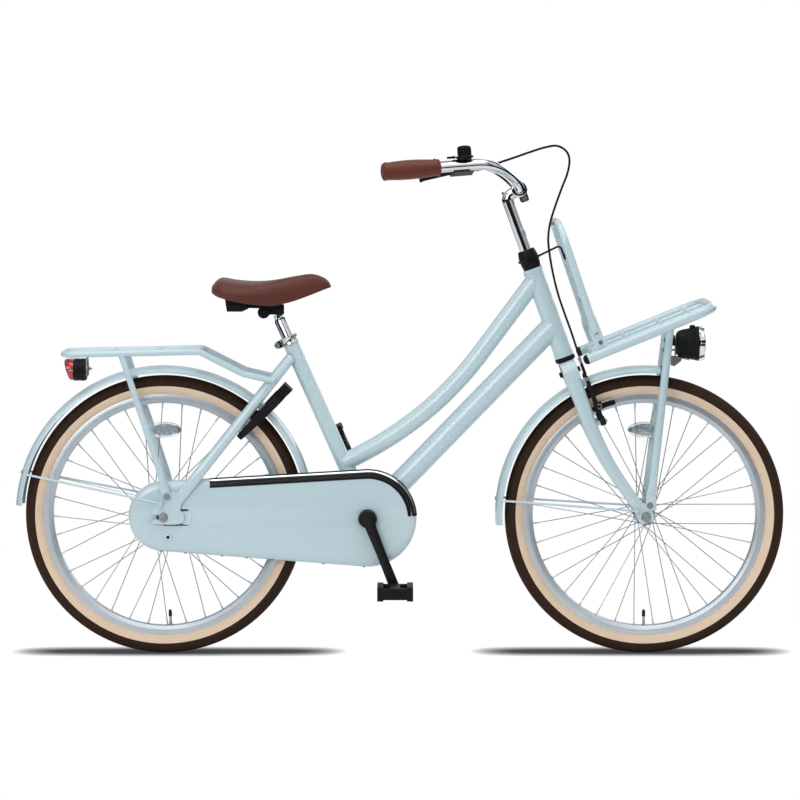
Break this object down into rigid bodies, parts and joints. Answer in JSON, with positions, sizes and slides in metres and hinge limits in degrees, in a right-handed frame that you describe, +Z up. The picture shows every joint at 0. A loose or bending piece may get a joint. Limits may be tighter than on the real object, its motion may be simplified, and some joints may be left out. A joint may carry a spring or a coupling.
{
  "type": "dutch city bicycle",
  "caption": "Step-through city bicycle with spoked wheels, mudguards, closed chain case, swept bars, front and rear carriers, ring lock, lamps, bell and folded kickstand.",
  "frame": {"origin": "on the ground, at the centre of the bounding box seen from above", "axes": "+X forwards, to the front wheel; +Y to the left of the rider; +Z up; the chain is on the -Y side"},
  "size_m": [1.6528, 0.603, 1.0951],
  "materials": {
    "paint": "gloss pale blue-green enamel",
    "chrome": "bright plated",
    "steel": "zinc-plated",
    "alloy": "satin anodised",
    "black_plastic": "black moulded",
    "black_metal": "satin black",
    "tyre": "brown tread, cream sidewalls",
    "leather": "brown, stitched",
    "grip": "brown, stitched",
    "red_lens": "red, ribbed",
    "clear_lens": "clear over a bright reflector"
  },
  "bodies": {
    "frame": {"main_frame": "paint", "rear_carrier": "paint", "rear_mudguard": "paint", "rear_mudguard_stay": "paint", "chain_case_inner": "paint", "chain_case_outer": "paint", "chain_case_trim": "chrome", "ring_lock_housing": "black_plastic", "rear_lamp_housing": "black_plastic", "rear_lamp_lens": "red_lens", "rear_axle": "steel", "coaster_brake_arm": "steel", "headset_lower_ring": "black_plastic", "seat_clamp": "chrome", "bottom_bracket_cartridge": "steel", "chain": "steel"},
    "rear_wheel": {"rear_tyre": "tyre", "rear_rim": "alloy", "rear_hub_and_spokes": "steel", "rear_reflector": "clear_lens"},
    "sprocket": {"rear_sprocket": "steel"},
    "crank": {"crank_spindle": "steel", "crank_right": "black_metal", "crank_left": "black_metal", "chainring": "steel"},
    "right_pedal": {"pedal_right": "black_plastic"},
    "left_pedal": {"pedal_left": "black_plastic"},
    "steering": {"headset_cap": "black_plastic", "fork": "paint", "front_axle": "steel", "stem": "chrome", "handlebar": "chrome", "grip_right": "grip", "grip_left": "grip", "brake_lever_bracket": "black_metal", "bell": "black_plastic", "front_brake_cable": "black_plastic", "front_mudguard": "paint", "front_mudguard_stay": "paint", "front_mudguard_tip": "black_plastic", "front_carrier": "paint", "front_carrier_backrest": "paint", "carrier_bracket": "black_metal", "headlamp_housing": "black_plastic", "headlamp_lens": "clear_lens", "headlamp_bracket": "steel"},
    "front_wheel": {"front_tyre": "tyre", "front_rim": "alloy", "front_hub_and_spokes": "steel", "front_reflector": "clear_lens"},
    "lever": {"brake_lever": "black_metal"},
    "right_brake_arm": {"brake_arm_right": "black_metal"},
    "left_brake_arm": {"brake_arm_left": "black_metal"},
    "thumb_lever": {"bell_lever": "black_plastic"},
    "stand": {"kickstand": "black_metal"},
    "saddle": {"seatpost": "chrome", "saddle_clamp": "black_metal", "saddle_frame": "black_plastic", "saddle_cover": "leather"},
    "shackle": {"ring_lock_shackle": "steel"}
  },
  "joints": [
    {"name": "steering", "type": "hinge", "parent": "frame", "child": "steering", "pos_m": [0.34588, 0, 0.66064], "axis": [-0.342, 0, 0.9397], "range_deg": [-75, 75]},
    {"name": "front_wheel_spin", "type": "hinge", "parent": "steering", "child": "front_wheel", "pos_m": [0.52592, 0, 0.3005], "axis": [0, 1, 0], "continuous": true},
    {"name": "rear_wheel_spin", "type": "hinge", "parent": "frame", "child": "rear_wheel", "pos_m": [-0.50609, 0, 0.3005], "axis": [0, 1, 0], "continuous": true},
    {"name": "crank_spin", "type": "hinge", "parent": "frame", "child": "crank", "pos_m": [-0.0691, 0, 0.2965], "axis": [0, 1, 0], "continuous": true},
    {"name": "sprocket_spin", "type": "hinge", "parent": "frame", "child": "sprocket", "pos_m": [-0.50609, 0, 0.3005], "axis": [0, 1, 0], "continuous": true},
    {"name": "pedal_right_spin", "type": "hinge", "parent": "crank", "child": "right_pedal", "pos_m": [-0.0102, -0.12, 0.14774], "axis": [0, 1, 0], "continuous": true},
    {"name": "pedal_left_spin", "type": "hinge", "parent": "crank", "child": "left_pedal", "pos_m": [-0.128, 0.12, 0.44526], "axis": [0, 1, 0], "continuous": true},
    {"name": "brake_lever_pull", "type": "hinge", "parent": "steering", "child": "lever", "pos_m": [0.1113, -0.21672, 1.03765], "axis": [-0.191, 0.4158, 0.8892], "range_deg": [0, 22], "stiffness_Nm_per_rad": 0.4},
    {"name": "right_arm_close", "type": "hinge", "parent": "steering", "child": "right_brake_arm", "pos_m": [0.43305, -0.04047, 0.50303], "axis": [-0.9397, 0, -0.342], "range_deg": [0, 4.2]},
    {"name": "left_arm_close", "type": "hinge", "parent": "steering", "child": "left_brake_arm", "pos_m": [0.43305, 0.04047, 0.50303], "axis": [0.9397, 0, 0.342], "range_deg": [0, 4.2]},
    {"name": "bell_lever_push", "type": "hinge", "parent": "steering", "child": "thumb_lever", "pos_m": [0.11233, -0.24139, 1.06574], "axis": [-0.0774, 0.0024, 0.997], "range_deg": [0, 25], "stiffness_Nm_per_rad": 0.05},
    {"name": "kickstand_swing", "type": "hinge", "parent": "frame", "child": "stand", "pos_m": [-0.1591, 0.054, 0.2849], "axis": [0, -0.9511, -0.309], "range_deg": [0, 90]},
    {"name": "saddle_height", "type": "slide", "parent": "frame", "child": "saddle", "axis": [-0.4067, 0, 0.9135], "range_m": [-0.02, 0.09]},
    {"name": "lock_shackle_slide", "type": "hinge", "parent": "frame", "child": "shackle", "pos_m": [-0.30324, 0, 0.51055], "axis": [-0.7193, 0, 0.6947], "range_deg": [0, 80]}
  ],
  "couplings": [
    {"joint": "sprocket_spin", "follows": "crank_spin", "ratio": 2.1111},
    {"joint": "right_arm_close", "follows": "brake_lever_pull", "ratio": 0.18182},
    {"joint": "left_arm_close", "follows": "brake_lever_pull", "ratio": 0.18182}
  ]
}
